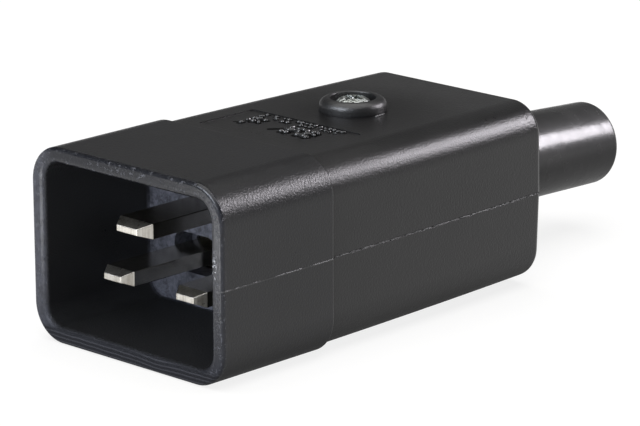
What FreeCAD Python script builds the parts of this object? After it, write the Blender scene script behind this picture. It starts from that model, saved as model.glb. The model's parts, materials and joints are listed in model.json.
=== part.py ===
import FreeCAD, Part
import os

# Rewireable appliance-inlet plug: a moulded shroud round three flat blades, two rear
# half shells closed by one screw and nut, and a rubber sleeve at the cord entry.
# Millimetres. Built with the rim in the plane y = 0 and the seam of the shells in the
# plane z = 0, then every piece is placed so that the origin is the centre of the
# overall box at its lowest face: +X to the right seen from the front, -Y towards the
# open end, +Z up.

DIMS = [
    ("shroud_wide", 34.0, "shroud outside width"),
    ("shroud_high", 25.7, "shroud outside height"),
    ("shroud_round", 4.9, "shroud outside corner radius"),
    ("shroud_long", 19.7, "shroud outside length, rim to joint"),
    ("mouth_wide", 29.7, "recess width"),
    ("mouth_high", 21.5, "recess height"),
    ("mouth_round", 2.5, "recess corner radius"),
    ("mouth_deep", 18.5, "recess depth"),
    ("rim_round", 0.5, "rounding of the rim's outer edge"),
    ("mouth_edge", 0.85, "rounding of the rim's inner edge"),
    ("shoulder_round", 0.35, "rounding of the shroud's rear edge"),
    ("neck_wide", 25.4, "neck width behind the shroud"),
    ("neck_high", 17.2, "neck height"),
    ("neck_round", 2.5, "neck corner radius"),
    ("neck_long", 2.6, "neck length"),
    ("flange_wide", 28.4, "flange width behind the neck"),
    ("flange_high", 20.2, "flange height"),
    ("flange_round", 2.3, "flange corner radius"),
    ("flange_long", 2.9, "flange length"),
    ("pin_pitch", 13.0, "line to neutral spacing"),
    ("pin_low", 3.8, "line and neutral below the seam plane"),
    ("earth_up", 4.45, "earth above the seam plane"),
    ("blade_wide", 5.0, "line and neutral blade width"),
    ("earth_wide", 5.9, "earth blade width"),
    ("blade_thick", 2.0, "blade thickness"),
    ("blade_edge", 0.12, "rounding of the blade edges"),
    ("tip_long", 1.5, "length of the line and neutral tip chamfers"),
    ("tip_side", 0.98, "line and neutral tip chamfer, per side across the width"),
    ("earth_tip_long", 1.75, "length of the earth tip chamfers"),
    ("earth_tip_side", 1.14, "earth tip chamfer, per side across the width"),
    ("tip_face", 0.6, "tip chamfers, per side across the thickness"),
    ("blade_tip", 3.86, "line and neutral tip behind the rim"),
    ("earth_tip", 0.38, "earth tip behind the rim"),
    ("well_side", 1.3, "pocket round the blade roots, per side across the width"),
    ("well_face", 1.65, "pocket round the blade roots, per side across the thickness"),
    ("well_round", 1.6, "pocket corner radius"),
    ("well_deep", 3.2, "pocket depth behind the recess floor"),
    ("shoulder_deep", 3.35, "pin shoulder behind the recess floor"),
    ("shank_dia", 5.9, "line and neutral shank diameter"),
    ("shank_hole", 6.2, "line and neutral hole diameter"),
    ("earth_shank", 6.4, "earth shank diameter"),
    ("earth_hole", 6.7, "earth hole diameter"),
    ("collar_dia", 8.2, "pin collar diameter"),
    ("collar_long", 2.0, "pin collar length"),
    ("barrel_dia", 6.0, "terminal barrel diameter"),
    ("barrel_end", 34.5, "line and neutral barrel end"),
    ("earth_end", 33.6, "earth barrel end"),
    ("wire_bore", 3.2, "wire bore diameter"),
    ("wire_deep", 6.5, "wire bore depth"),
    ("term_at", 31.3, "terminal screw position"),
    ("term_core", 2.7, "terminal screw hole diameter"),
    ("term_shank", 2.6, "terminal screw shank diameter"),
    ("term_head", 4.4, "terminal screw head diameter"),
    ("term_headup", 1.6, "terminal screw head height"),
    ("plate_wide", 28.0, "retainer plate width"),
    ("plate_high", 19.8, "retainer plate height"),
    ("plate_thick", 3.5, "retainer plate thickness"),
    ("plate_clear", 0.1, "clearance round the pins in the plate, per side"),
    ("rscrew_x", 10.5, "retainer screw offset to the side"),
    ("rscrew_z", 5.8, "retainer screw height above the seam plane"),
    ("rscrew_dia", 2.4, "retainer screw shank diameter"),
    ("rscrew_head", 4.2, "retainer screw head diameter"),
    ("rscrew_headup", 1.4, "retainer screw head height"),
    ("rscrew_long", 7.5, "retainer screw shank length"),
    ("shell_wide", 32.96, "shell width at the joint"),
    ("shell_high", 24.72, "shell height at the joint"),
    ("shell_wide_b", 32.73, "shell width at a third"),
    ("shell_high_b", 24.66, "shell height at a third"),
    ("shell_wide_c", 32.10, "shell width at two thirds"),
    ("shell_high_c", 24.50, "shell height at two thirds"),
    ("shell_wide_d", 31.10, "shell width at the rear"),
    ("shell_high_d", 24.24, "shell height at the rear"),
    ("shell_drop", 0.263, "fall of the shell's top and bottom over its length"),
    ("shell_round", 4.4, "shell corner radius"),
    ("shell_long", 41.4, "shell length"),
    ("shell_wall", 2.0, "shell wall"),
    ("shell_rear", 2.2, "shell rear wall"),
    ("rear_swell", 0.28, "rear face at the seam, behind its nominal place"),
    ("rear_lean", 0.3, "lean of the upper rear face over half the height"),
    ("rear_lean_low", 0.53, "lean of the lower rear face over half the height"),
    ("shell_edge", 1.0, "rounding of the rear edges"),
    ("lip_long", 2.55, "lip length at the joint"),
    ("lip_clear", 0.3, "lip clearance round the neck, both sides together"),
    ("seam_edge", 0.12, "chamfer along the outer seam"),
    ("boss_at", 41.3, "screw position behind the rim"),
    ("boss_dia", 9.0, "boss diameter at the shell's top"),
    ("boss_top", 8.8, "boss diameter at its top"),
    ("boss_up", 14.0, "boss top above the seam plane"),
    ("boss_round", 1.15, "rounding of the boss edge"),
    ("boss_seat", 11.2, "screw head seat above the seam plane"),
    ("boss_well", 6.1, "screw head well diameter"),
    ("boss_lip", 0.15, "rounding of the well's edge"),
    ("post_dia", 7.6, "upper pillar diameter"),
    ("base_dia", 9.6, "lower pillar diameter"),
    ("screw_hole", 3.8, "screw clearance hole"),
    ("screw_dia", 3.4, "screw shank diameter"),
    ("screw_head", 5.0, "screw head diameter"),
    ("screw_headup", 2.75, "screw head height"),
    ("screw_foot", 11.4, "screw end below the seam plane"),
    ("recess_arm", 3.0, "cross recess arm length"),
    ("recess_bar", 0.8, "cross recess arm width"),
    ("recess_deep", 1.2, "cross recess depth"),
    ("nut_flat", 6.0, "nut across flats"),
    ("nut_hole", 3.5, "nut hole"),
    ("nut_thick", 2.4, "nut thickness"),
    ("nut_pocket", 6.3, "nut pocket across flats"),
    ("nut_seat", 9.5, "nut seat below the seam plane"),
    ("field_wide", 19.6, "data field width"),
    ("field_from", 22.4, "data field front edge"),
    ("field_to", 32.6, "data field rear edge"),
    ("field_floor", 12.13, "data field floor above the seam plane"),
    ("clamp_at", 52.0, "cord clamp position"),
    ("clamp_x", 9.5, "clamp screw offset to the side"),
    ("clamp_post", 6.0, "clamp post diameter"),
    ("clamp_bar_long", 25.2, "clamp bar length"),
    ("clamp_bar_wide", 6.0, "clamp bar width along the cord"),
    ("clamp_ear", 2.5, "clamp bar ear thickness"),
    ("clamp_in", 4.4, "cord saddle radius"),
    ("clamp_out", 6.4, "clamp arch outside radius"),
    ("clamp_hole", 3.2, "clamp bar hole"),
    ("clamp_dia", 2.8, "clamp screw shank diameter"),
    ("clamp_pilot", 2.9, "pilot hole in the clamp posts"),
    ("clamp_head", 5.2, "clamp screw head diameter"),
    ("clamp_headup", 1.8, "clamp screw head height"),
    ("clamp_foot", 8.0, "clamp screw end below the seam plane"),
    ("sleeve_root", 6.23, "sleeve radius at the rear face"),
    ("sleeve_tail", 5.8, "sleeve radius at its end"),
    ("sleeve_long", 28.7, "sleeve length behind the rear face"),
    ("sleeve_bore", 4.3, "sleeve bore radius"),
    ("sleeve_flange", 8.0, "sleeve inner flange radius"),
    ("sleeve_tilt", 2.7, "sleeve droop in degrees"),
    ("sleeve_edge", 0.8, "rounding of the sleeve's end"),
    ("sleeve_hole", 6.45, "radius of the opening in the rear wall"),
    ("frame_back", 45.0022, "half of the overall length"),
]

doc = FreeCAD.newDocument("power_plug")
sheet = doc.addObject("Spreadsheet::Sheet", "dims")
for row, (alias, number, note) in enumerate(DIMS, start=1):
    sheet.set("A%d" % row, note)
    sheet.set("B%d" % row, str(number))
    sheet.setAlias("B%d" % row, alias)
doc.recompute()


class Q:
    """A number with the sheet expression that it comes from."""

    def __init__(self, number, text):
        self.v = float(number)
        self.e = text

    def __add__(self, other):
        other = q(other)
        return Q(self.v + other.v, "(%s + %s)" % (self.e, other.e))

    def __sub__(self, other):
        other = q(other)
        return Q(self.v - other.v, "(%s - %s)" % (self.e, other.e))

    def __mul__(self, other):
        other = q(other)
        return Q(self.v * other.v, "(%s * %s)" % (self.e, other.e))

    def __truediv__(self, other):
        other = q(other)
        return Q(self.v / other.v, "(%s / %s)" % (self.e, other.e))

    def __neg__(self):
        return Q(-self.v, "(0 - %s)" % self.e)

    def __rsub__(self, other):
        return q(other) - self

    def __radd__(self, other):
        return q(other) + self

    def __rmul__(self, other):
        return q(other) * self


def q(value):
    return value if isinstance(value, Q) else Q(value, repr(float(value)))


D = {alias: Q(number, "dims." + alias) for alias, number, note in DIMS}
bodies = []


def new_body(name):
    body = doc.addObject("PartDesign::Body", name)
    body.Label = name
    bodies.append(body)
    return body


def plane(body, role):
    for item in body.Origin.OriginFeatures:
        if item.Role == role:
            return item


def sketch(body, role, off):
    sk = body.newObject("Sketcher::SketchObject", body.Name + "_sketch")
    sk.AttachmentSupport = [(plane(body, role), "")]
    sk.MapMode = "FlatFace"
    off = [q(o) for o in off]
    sk.AttachmentOffset = FreeCAD.Placement(FreeCAD.Vector(*[o.v for o in off]), FreeCAD.Rotation())
    for axis, o in zip("xyz", off):
        if "dims." in o.e:
            sk.setExpression("AttachmentOffset.Base." + axis, o.e)
    return sk


def at_y(body, y, x=0, z=0):
    """Sketch across the plug at depth y: its x is X, its y is Z."""
    return sketch(body, "XZ_Plane", (x, z, -q(y)))


def at_z(body, z, x=0, y=0):
    """Level sketch at height z: its x is X, its y is Y."""
    return sketch(body, "XY_Plane", (x, y, z))


def dim(sk, kind, args, value):
    value = q(value)
    index = sk.addConstraint(FreeCADSketch(kind, *args, value.v))
    if "dims." in value.e:
        sk.setExpression("Constraints[%d]" % index, value.e)


def FreeCADSketch(*args):
    import Sketcher
    return Sketcher.Constraint(*args)


def vec(x, y):
    return FreeCAD.Vector(x, y, 0)


def circle(sk, dia):
    dia = q(dia)
    sk.addGeometry(Part.Circle(vec(0, 0), FreeCAD.Vector(0, 0, 1), dia.v / 2), False)
    sk.addConstraint(FreeCADSketch("Coincident", 0, 3, -1, 1))
    dim(sk, "Radius", (0,), dia / 2)
    return sk


def rect(sk, wide, high):
    wide, high = q(wide), q(high)
    a, b = wide.v / 2, high.v / 2
    pts = [(-a, -b), (a, -b), (a, b), (-a, b)]
    for i in range(4):
        sk.addGeometry(Part.LineSegment(vec(*pts[i]), vec(*pts[(i + 1) % 4])), False)
    for i in range(4):
        sk.addConstraint(FreeCADSketch("Coincident", i, 2, (i + 1) % 4, 1))
    for i, kind in enumerate(("Horizontal", "Vertical", "Horizontal", "Vertical")):
        sk.addConstraint(FreeCADSketch(kind, i))
    dim(sk, "DistanceX", (-1, 1, 1, 1), wide / 2)
    dim(sk, "DistanceX", (3, 1, -1, 1), wide / 2)
    dim(sk, "DistanceY", (-1, 1, 2, 1), high / 2)
    dim(sk, "DistanceY", (0, 1, -1, 1), high / 2)
    return sk


def rrect(sk, wide, high, rad):
    """Rectangle with rounded corners, centred on the sketch origin."""
    wide, high, rad = q(wide), q(high), q(rad)
    a, b, r = wide.v / 2, high.v / 2, rad.v
    up = FreeCAD.Vector(0, 0, 1)
    lines = [((-a + r, -b), (a - r, -b)), ((a, -b + r), (a, b - r)), ((a - r, b), (-a + r, b)), ((-a, b - r), (-a, -b + r))]
    arcs = [((a - r, -b + r), -90, 0), ((a - r, b - r), 0, 90), ((-a + r, b - r), 90, 180), ((-a + r, -b + r), 180, 270)]
    for start, end in lines:
        sk.addGeometry(Part.LineSegment(vec(*start), vec(*end)), False)
    for centre, t0, t1 in arcs:
        sk.addGeometry(Part.ArcOfCircle(Part.Circle(vec(*centre), up, r), t0 * 3.141592653589793 / 180, t1 * 3.141592653589793 / 180), False)
    for i in range(4):
        sk.addConstraint(FreeCADSketch("Tangent", i, 2, 4 + i, 1))
        sk.addConstraint(FreeCADSketch("Tangent", 4 + i, 2, (i + 1) % 4, 1))
    for i, kind in enumerate(("Horizontal", "Vertical", "Horizontal", "Vertical")):
        sk.addConstraint(FreeCADSketch(kind, i))
    for i in (5, 6, 7):
        sk.addConstraint(FreeCADSketch("Equal", 4, i))
    dim(sk, "Radius", (4,), rad)
    dim(sk, "DistanceX", (-1, 1, 1, 1), wide / 2)
    dim(sk, "DistanceX", (3, 1, -1, 1), wide / 2)
    dim(sk, "DistanceY", (-1, 1, 2, 1), high / 2)
    dim(sk, "DistanceY", (0, 1, -1, 1), high / 2)
    return sk


def poly(sk, pts):
    """Closed outline through points, each held by its distances from the origin."""
    pts = [(q(x), q(y)) for x, y in pts]
    n = len(pts)
    for i in range(n):
        a, b = pts[i], pts[(i + 1) % n]
        sk.addGeometry(Part.LineSegment(vec(a[0].v, a[1].v), vec(b[0].v, b[1].v)), False)
    for i in range(n):
        sk.addConstraint(FreeCADSketch("Coincident", i, 2, (i + 1) % n, 1))
    for i, (x, y) in enumerate(pts):
        for kind, value, axis in (("DistanceX", x, -2), ("DistanceY", y, -1)):
            if abs(value.v) < 1e-9:
                sk.addConstraint(FreeCADSketch("PointOnObject", i, 1, axis))
            elif value.v > 0:
                dim(sk, kind, (-1, 1, i, 1), value)
            else:
                dim(sk, kind, (i, 1, -1, 1), -value)
    return sk


def feature(body, kind, sk, length, back=False):
    f = body.newObject(kind, body.Name + "_" + kind.split("::")[1].lower())
    f.Profile = sk
    length = q(length)
    f.Length = length.v
    if "dims." in length.e:
        f.setExpression("Length", length.e)
    f.Reversed = back
    sk.Visibility = False
    doc.recompute()
    return f


def pad_y(body, sk, length):
    """Material from the sketch towards +Y."""
    return feature(body, "PartDesign::Pad", sk, length, True)


def cut_y(body, sk, length, back=False):
    """Hole from the sketch towards +Y, or towards -Y."""
    return checked_cut(body, sk, length, back)


def pad_z(body, sk, length, down=False):
    """Material from the sketch towards +Z, or towards -Z."""
    return feature(body, "PartDesign::Pad", sk, length, down)


def cut_z(body, sk, length, up=False):
    """Hole from the sketch towards -Z, or towards +Z."""
    return checked_cut(body, sk, length, up)


def checked_cut(body, sk, length, back):
    before = body.Shape.Volume
    f = feature(body, "PartDesign::Pocket", sk, length, back)
    if not body.Shape.Volume < before - 1e-3:
        raise RuntimeError("nothing cut in " + body.Label)
    return f


def loft(body, sketches, take=False):
    kind = "PartDesign::SubtractiveLoft" if take else "PartDesign::AdditiveLoft"
    f = body.newObject(kind, body.Name + "_loft")
    f.Profile = sketches[0]
    f.Sections = sketches[1:]
    f.Ruled = len(sketches) == 2
    doc.recompute()
    return f


def revolve(body, sk, axis="V_Axis"):
    f = body.newObject("PartDesign::Revolution", body.Name + "_revolution")
    f.Profile = sk
    f.ReferenceAxis = (sk, [axis])
    f.Angle = 360
    doc.recompute()
    return f


def edges(body, pick):
    """Names of the edges of the body's latest feature that pick accepts."""
    return ["Edge%d" % (i + 1) for i, e in enumerate(body.Tip.Shape.Edges) if pick(e.BoundBox, e)]


def dress(body, kind, names, size, what="Radius"):
    if not names:
        raise RuntimeError("no edges found in " + body.Label)
    base = body.Tip
    f = body.newObject(kind, body.Name + "_" + kind.split("::")[1].lower())
    f.Base = (base, names)
    size = q(size)
    setattr(f, what, size.v)
    f.setExpression(what, size.e)
    doc.recompute()
    return f


def flat_y(y, tol=1e-3):
    return lambda box: abs(box.YMin - y) < tol and abs(box.YMax - y) < tol


def flat_z(z, tol=1e-3):
    return lambda box: abs(box.ZMin - z) < tol and abs(box.ZMax - z) < tol


joint = D["shroud_long"]
flange_at = joint + D["neck_long"]
plate_at = flange_at + D["flange_long"]
rear = joint + D["shell_long"]
half_pitch = D["pin_pitch"] / 2
pins = (("line", -half_pitch, -D["pin_low"]), ("neutral", half_pitch, -D["pin_low"]))
mouth_x, mouth_z = D["mouth_wide"].v / 2 + 0.01, D["mouth_high"].v / 2 + 0.01

# Front shroud: skirt, recess, neck and flange, three pockets round the blade roots and a
# round pin hole through each pocket's floor.
shroud = new_body("front_shroud")
pad_y(shroud, rrect(at_y(shroud, 0), D["shroud_wide"], D["shroud_high"], D["shroud_round"]), joint)
pad_y(shroud, rrect(at_y(shroud, joint), D["neck_wide"], D["neck_high"], D["neck_round"]), D["neck_long"])
pad_y(shroud, rrect(at_y(shroud, flange_at), D["flange_wide"], D["flange_high"], D["flange_round"]), D["flange_long"])
cut_y(shroud, rrect(at_y(shroud, 0), D["mouth_wide"], D["mouth_high"], D["mouth_round"]), D["mouth_deep"])
for name, px, pz in pins:
    cut_y(shroud, rrect(at_y(shroud, D["mouth_deep"], px, pz), D["blade_wide"] + D["well_side"] * 2, D["blade_thick"] + D["well_face"] * 2, D["well_round"]), D["well_deep"])
    cut_y(shroud, circle(at_y(shroud, D["mouth_deep"] + D["well_deep"] - 0.1, px, pz), D["shank_hole"]), 12)
cut_y(shroud, rrect(at_y(shroud, D["mouth_deep"], 0, D["earth_up"]), D["earth_wide"] + D["well_side"] * 2, D["blade_thick"] + D["well_face"] * 2, D["well_round"]), D["well_deep"])
cut_y(shroud, circle(at_y(shroud, D["mouth_deep"] + D["well_deep"] - 0.1, 0, D["earth_up"]), D["earth_hole"]), 12)
for side in (-1, 1):
    cut_y(shroud, circle(at_y(shroud, plate_at, D["rscrew_x"] * side, D["rscrew_z"]), D["rscrew_dia"] + 0.1), D["rscrew_long"] - D["plate_thick"] + 0.5, True)
dress(shroud, "PartDesign::Fillet", edges(shroud, lambda b, e: flat_y(0)(b) and max(abs(b.XMin), abs(b.XMax)) < mouth_x and max(abs(b.ZMin), abs(b.ZMax)) < mouth_z), D["mouth_edge"])
dress(shroud, "PartDesign::Fillet", edges(shroud, lambda b, e: flat_y(0)(b) and (max(abs(b.XMin), abs(b.XMax)) > mouth_x + 1.6 or max(abs(b.ZMin), abs(b.ZMax)) > mouth_z + 1.6)), D["rim_round"])
dress(shroud, "PartDesign::Fillet", edges(shroud, lambda b, e: flat_y(joint.v)(b) and max(abs(b.XMin), abs(b.XMax)) > D["neck_wide"].v / 2 + 1 or flat_y(joint.v)(b) and max(abs(b.ZMin), abs(b.ZMax)) > D["neck_high"].v / 2 + 1), D["shoulder_round"])


def make_pin(name, px, pz, wide, tip, nose_long, nose_side, shank, end):
    """Flat blade with a chamfered tip, round shank, collar and screw-terminal barrel."""
    pin = new_body(name)
    shoulder = D["mouth_deep"] + D["shoulder_deep"]
    nose = rect(at_y(pin, tip, px, pz), wide - nose_side * 2, D["blade_thick"] - D["tip_face"] * 2)
    full = rect(at_y(pin, tip + nose_long, px, pz), wide, D["blade_thick"])
    loft(pin, [nose, full])
    pad_y(pin, rect(at_y(pin, tip + nose_long, px, pz), wide, D["blade_thick"]), shoulder - tip - nose_long + 0.5)
    dress(pin, "PartDesign::Fillet", edges(pin, lambda b, e: b.YMin < shoulder.v), D["blade_edge"])
    pad_y(pin, circle(at_y(pin, shoulder, px, pz), shank), plate_at - shoulder)
    pad_y(pin, circle(at_y(pin, plate_at, px, pz), D["collar_dia"]), D["collar_long"])
    pad_y(pin, circle(at_y(pin, plate_at + D["collar_long"], px, pz), D["barrel_dia"]), end - plate_at - D["collar_long"])
    cut_y(pin, circle(at_y(pin, end, px, pz), D["wire_bore"]), D["wire_deep"], True)
    cut_z(pin, circle(at_z(pin, pz, px, D["term_at"]), D["term_core"]), 5, True)
    return pin


for name, px, pz in pins:
    make_pin(name + "_pin", px, pz, D["blade_wide"], D["blade_tip"], D["tip_long"], D["tip_side"], D["shank_dia"], D["barrel_end"])
make_pin("earth_pin", Q(0, "0"), D["earth_up"], D["earth_wide"], D["earth_tip"], D["earth_tip_long"], D["earth_tip_side"], D["earth_shank"], D["earth_end"])

# Retainer plate: counterbored over the collars, two screws into the shroud's flange.
plate = new_body("pin_retainer")
pad_y(plate, rrect(at_y(plate, plate_at), D["plate_wide"], D["plate_high"], D["flange_round"]), D["plate_thick"])
for name, px, pz in pins + (("earth", Q(0, "0"), D["earth_up"]),):
    cut_y(plate, circle(at_y(plate, plate_at, px, pz), D["collar_dia"] + D["plate_clear"] * 2), D["collar_long"])
    cut_y(plate, circle(at_y(plate, plate_at, px, pz), D["barrel_dia"] + D["plate_clear"] * 2), 6)
for side in (-1, 1):
    cut_y(plate, circle(at_y(plate, plate_at, D["rscrew_x"] * side, D["rscrew_z"]), D["rscrew_dia"] + 0.3), 6)
for word, side in (("left", -1), ("right", 1)):
    rs = new_body("retainer_screw_" + word)
    seat = plate_at + D["plate_thick"]
    pad_y(rs, circle(at_y(rs, seat, D["rscrew_x"] * side, D["rscrew_z"]), D["rscrew_head"]), D["rscrew_headup"])
    feature(rs, "PartDesign::Pad", circle(at_y(rs, seat, D["rscrew_x"] * side, D["rscrew_z"]), D["rscrew_dia"]), D["rscrew_long"], False)
    dress(rs, "PartDesign::Fillet", edges(rs, lambda b, e: flat_y((seat + D["rscrew_headup"]).v)(b)), D["rscrew_headup"] / 3)
    cut_y(rs, rect(at_y(rs, seat + D["rscrew_headup"], D["rscrew_x"] * side, D["rscrew_z"]), 2.6, 0.6), 0.8, True)
    cut_y(rs, rect(at_y(rs, seat + D["rscrew_headup"], D["rscrew_x"] * side, D["rscrew_z"]), 0.6, 2.6), 0.8, True)

# Terminal screws stand in the top of each barrel.
for name, px, pz in pins + (("earth", Q(0, "0"), D["earth_up"]),):
    ts = new_body(name + "_terminal_screw")
    seat = pz + D["barrel_dia"] / 2 + 0.05
    pad_z(ts, circle(at_z(ts, seat, px, D["term_at"]), D["term_head"]), D["term_headup"])
    pad_z(ts, circle(at_z(ts, seat, px, D["term_at"]), D["term_shank"]), D["barrel_dia"] / 2 - 0.4, True)
    dress(ts, "PartDesign::Chamfer", edges(ts, lambda b, e: flat_z((seat + D["term_headup"]).v)(b)), D["term_headup"] / 6, "Size")
    cut_z(ts, rect(at_z(ts, seat + D["term_headup"], px, D["term_at"]), 6, 0.8), 0.8)


# Rear half shells: slightly bowed sides, front lips that hold the shroud's flange, and
# a round opening in the rear wall for the sleeve.
def plan(sk, wide, tail, long):
    """Outline from above: straight ends, sides that bow inwards towards the rear."""
    a, c, y = wide / 2, tail / 2, q(long)
    mid = (a.v + c.v) / 2 + (a.v - c.v) / 4
    sk.addGeometry(Part.LineSegment(vec(-a.v, 0), vec(a.v, 0)), False)
    sk.addGeometry(Part.Arc(vec(a.v, 0), vec(mid, y.v / 2), vec(c.v, y.v)), False)
    sk.addGeometry(Part.LineSegment(vec(c.v, y.v), vec(-c.v, y.v)), False)
    sk.addGeometry(Part.Arc(vec(-c.v, y.v), vec(-mid, y.v / 2), vec(-a.v, 0)), False)
    # each side leaves the front line square to it
    ends = {}
    for i in (1, 3):
        g = sk.Geometry[i]
        front_first = abs(g.StartPoint.y) < abs(g.EndPoint.y)
        ends[i] = (1, 2) if front_first else (2, 1)
    sk.addConstraint(FreeCADSketch("Perpendicular", 0, 2, 1, ends[1][0]))
    sk.addConstraint(FreeCADSketch("Coincident", 1, ends[1][1], 2, 1))
    sk.addConstraint(FreeCADSketch("Coincident", 2, 2, 3, ends[3][1]))
    sk.addConstraint(FreeCADSketch("Perpendicular", 0, 1, 3, ends[3][0]))
    sk.addConstraint(FreeCADSketch("PointOnObject", 0, 1, -1))
    sk.addConstraint(FreeCADSketch("PointOnObject", 0, 2, -1))
    dim(sk, "DistanceX", (-1, 1, 0, 2), a)
    dim(sk, "DistanceX", (0, 1, -1, 1), a)
    dim(sk, "DistanceX", (-1, 1, 2, 1), c)
    dim(sk, "DistanceX", (2, 2, -1, 1), c)
    dim(sk, "DistanceY", (-1, 1, 2, 1), y)
    dim(sk, "DistanceY", (-1, 1, 2, 2), y)
    return sk


def bow(sk, drop, long, side):
    """Region outside the falling top (side 1) or rising bottom (side -1), to cut away."""
    drop, y = q(drop), q(long)
    if side > 0:
        return poly(sk, [(0, 0), (y, -drop), (y, 8), (0, 8)])
    return poly(sk, [(0, 0), (0, -8), (y, -8), (y, drop)])


def lean(sk, fall, half, side):
    """Region behind the leaning rear face, to cut away; both halves lean in from the seam."""
    fall, half = q(fall), q(half)
    if side > 0:
        return poly(sk, [(0, 0), (8, 0), (8, half), (-fall, half)])
    return poly(sk, [(0, 0), (-fall, -half), (8, -half), (8, 0)])


def inner_section(body, y, wide, high):
    take = D["shell_wall"] * 2
    return rrect(at_y(body, y), wide - take, high - take, D["shell_round"] - D["shell_wall"])


def make_shell(name, upper):
    shell = new_body(name)
    outline = plan(at_z(shell, 0, 0, joint), D["shell_wide"], D["shell_wide_d"], D["shell_long"] + D["rear_swell"] * 2)
    side = 1 if upper else -1
    fall = D["rear_lean"] if upper else D["rear_lean_low"]
    pad_z(shell, outline, D["shell_high"] / 2 + 2, not upper)
    lid = bow(sketch(shell, "YZ_Plane", (joint - 2, D["shell_high"] / 2 * side, -30)), D["shell_drop"], D["shell_long"] + 4, side)
    checked_cut(shell, lid, 60, True)
    back = lean(sketch(shell, "YZ_Plane", (rear + D["rear_swell"], 0, -30)), fall * 1.3, D["shell_high"] * 0.65, side)
    checked_cut(shell, back, 60, True)

    def on_back(e):
        spots = [e.valueAt(e.FirstParameter + (e.LastParameter - e.FirstParameter) * t) for t in (0, 0.5, 1)]
        return all(abs(p.y - (rear + D["rear_swell"] - fall * abs(p.z) / (D["shell_high"].v / 2)).v) < 0.01 for p in spots)

    dress(shell, "PartDesign::Fillet", edges(shell, lambda b, e: b.YLength > D["shell_long"].v * 0.7 and min(abs(b.ZMin), abs(b.ZMax)) > 5), D["shell_round"])
    dress(shell, "PartDesign::Fillet", edges(shell, lambda b, e: on_back(e) and not flat_z(0)(b)), D["shell_edge"])
    dress(shell, "PartDesign::Fillet", edges(shell, lambda b, e: flat_y(joint.v, 1e-2)(b) and not flat_z(0)(b)), D["shoulder_round"])
    dress(shell, "PartDesign::Chamfer", edges(shell, lambda b, e: flat_z(0)(b) and min(abs(b.XMin), abs(b.XMax)) > 12), D["seam_edge"], "Size")
    inner = [
        (joint + D["lip_long"], D["shell_wide"], D["shell_high"]),
        (joint + D["shell_long"] / 3, D["shell_wide_b"], D["shell_high_b"]),
        (joint + D["shell_long"] * 2 / 3, D["shell_wide_c"], D["shell_high_c"]),
        (rear - D["shell_rear"], D["shell_wide_d"], D["shell_high_d"]),
    ]
    before = shell.Shape.Volume
    loft(shell, [inner_section(shell, y, w, h) for y, w, h in inner], True)
    if not shell.Shape.Volume < before - 100:
        raise RuntimeError("no cavity in " + name)
    cut_y(shell, rrect(at_y(shell, joint), D["neck_wide"] + D["lip_clear"], D["neck_high"] + D["lip_clear"], D["neck_round"]), D["lip_long"] + 1)
    cut_y(shell, circle(at_y(shell, rear - D["shell_rear"] - 1), D["sleeve_hole"] * 2), 6)
    return shell


top = make_shell("upper_housing", True)
pad_z(top, circle(at_z(top, 0, 0, D["boss_at"]), D["post_dia"]), D["boss_seat"])
boss_root = D["boss_seat"] - 0.4
boss_flare = (D["boss_dia"] - D["boss_top"]) / (D["boss_up"] - D["shell_high"] / 2 + D["shell_drop"] / 2)
loft(top, [
    circle(at_z(top, boss_root, 0, D["boss_at"]), D["boss_top"] + boss_flare * (D["boss_up"] - boss_root)),
    circle(at_z(top, D["boss_up"], 0, D["boss_at"]), D["boss_top"]),
])
dress(top, "PartDesign::Fillet", edges(top, lambda b, e: flat_z(D["boss_up"].v)(b)), D["boss_round"])
cut_z(top, circle(at_z(top, D["boss_up"], 0, D["boss_at"]), D["boss_well"]), D["boss_up"] - D["boss_seat"])
dress(top, "PartDesign::Fillet", edges(top, lambda b, e: flat_z(D["boss_up"].v)(b) and b.XMax < D["boss_well"].v / 2 + 0.01), D["boss_lip"])
cut_z(top, circle(at_z(top, D["boss_up"], 0, D["boss_at"]), D["screw_hole"]), 30)
field_mid = (D["field_from"] + D["field_to"]) / 2
cut_z(top, rrect(at_z(top, D["field_floor"], 0, field_mid), D["field_wide"], D["field_to"] - D["field_from"], 0.6), 3, True)

low = make_shell("lower_housing", False)
pad_z(low, circle(at_z(low, 0, 0, D["boss_at"]), D["base_dia"]), D["shell_high"] / 2 - 1.2, True)
for side in (-1, 1):
    pad_z(low, circle(at_z(low, 0, D["clamp_x"] * side, D["clamp_at"]), D["clamp_post"]), D["shell_high"] / 2 - 1.2, True)
pad_z(low, rect(at_z(low, -0.2, 0, D["clamp_at"]), D["clamp_x"] * 2, D["clamp_bar_wide"] / 2), D["shell_high"] / 2 - 1.4, True)
cut_y(low, circle(at_y(low, D["clamp_at"] - D["clamp_bar_wide"]), D["clamp_in"] * 2), D["clamp_bar_wide"] * 2)
for side in (-1, 1):
    cut_z(low, circle(at_z(low, 0, D["clamp_x"] * side, D["clamp_at"]), D["clamp_pilot"]), D["clamp_foot"] + 0.6)
cut_z(low, circle(at_z(low, 0, 0, D["boss_at"]), D["screw_hole"]), D["nut_seat"] + 1)


def hexagon(sk, flats):
    """Six sides about the origin, two of them level with X."""
    a = flats / 2
    c = flats * 0.5773502691896258
    return poly(sk, [(c, 0), (c / 2, a), (-c / 2, a), (-c, 0), (-c / 2, -a), (c / 2, -a)])


cut_z(low, hexagon(at_z(low, -D["nut_seat"], 0, D["boss_at"]), D["nut_pocket"]), 6)

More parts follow.
